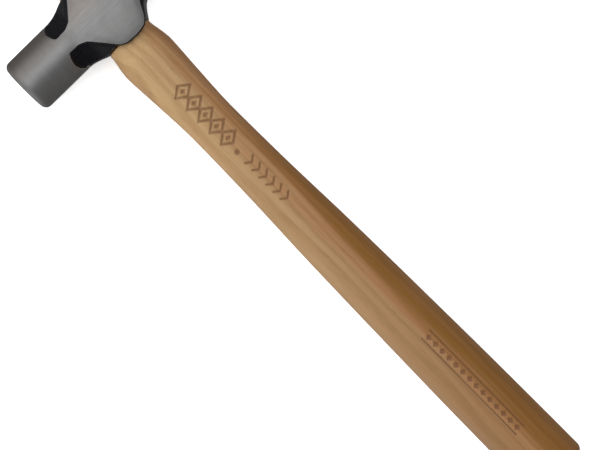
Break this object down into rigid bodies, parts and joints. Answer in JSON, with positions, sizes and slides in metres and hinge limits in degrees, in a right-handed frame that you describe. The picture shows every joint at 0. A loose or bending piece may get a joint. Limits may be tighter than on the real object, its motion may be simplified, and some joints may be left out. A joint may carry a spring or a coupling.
{
  "type": "cross peen hammer",
  "caption": "Cross peen hammer: forged steel head with a round striking face, ground cheeks and a wedge peen, on an oval hickory handle held in the eye by wooden and steel wedges",
  "frame": {"origin": "middle of the underside of the bounding box, with the hammer lying on its side", "axes": "+X along the handle from the head to the butt, +Y from the striking face to the peen, +Z out of the upper cheek"},
  "size_m": [0.312, 0.0965, 0.027],
  "materials": {
    "ground_steel": "ground bright on the face end, cheeks and peen; glossy black paint in the forged hollows",
    "hickory": "clear satin lacquer",
    "wedge_wood": "bare end grain",
    "wedge_steel": "plain mild steel"
  },
  "bodies": {
    "root": {"hammer_head": "ground_steel", "handle": "hickory", "wooden_wedge": "wedge_wood", "steel_wedge_face_side": "wedge_steel", "steel_wedge_peen_side": "wedge_steel"}
  },
  "joints": []
}
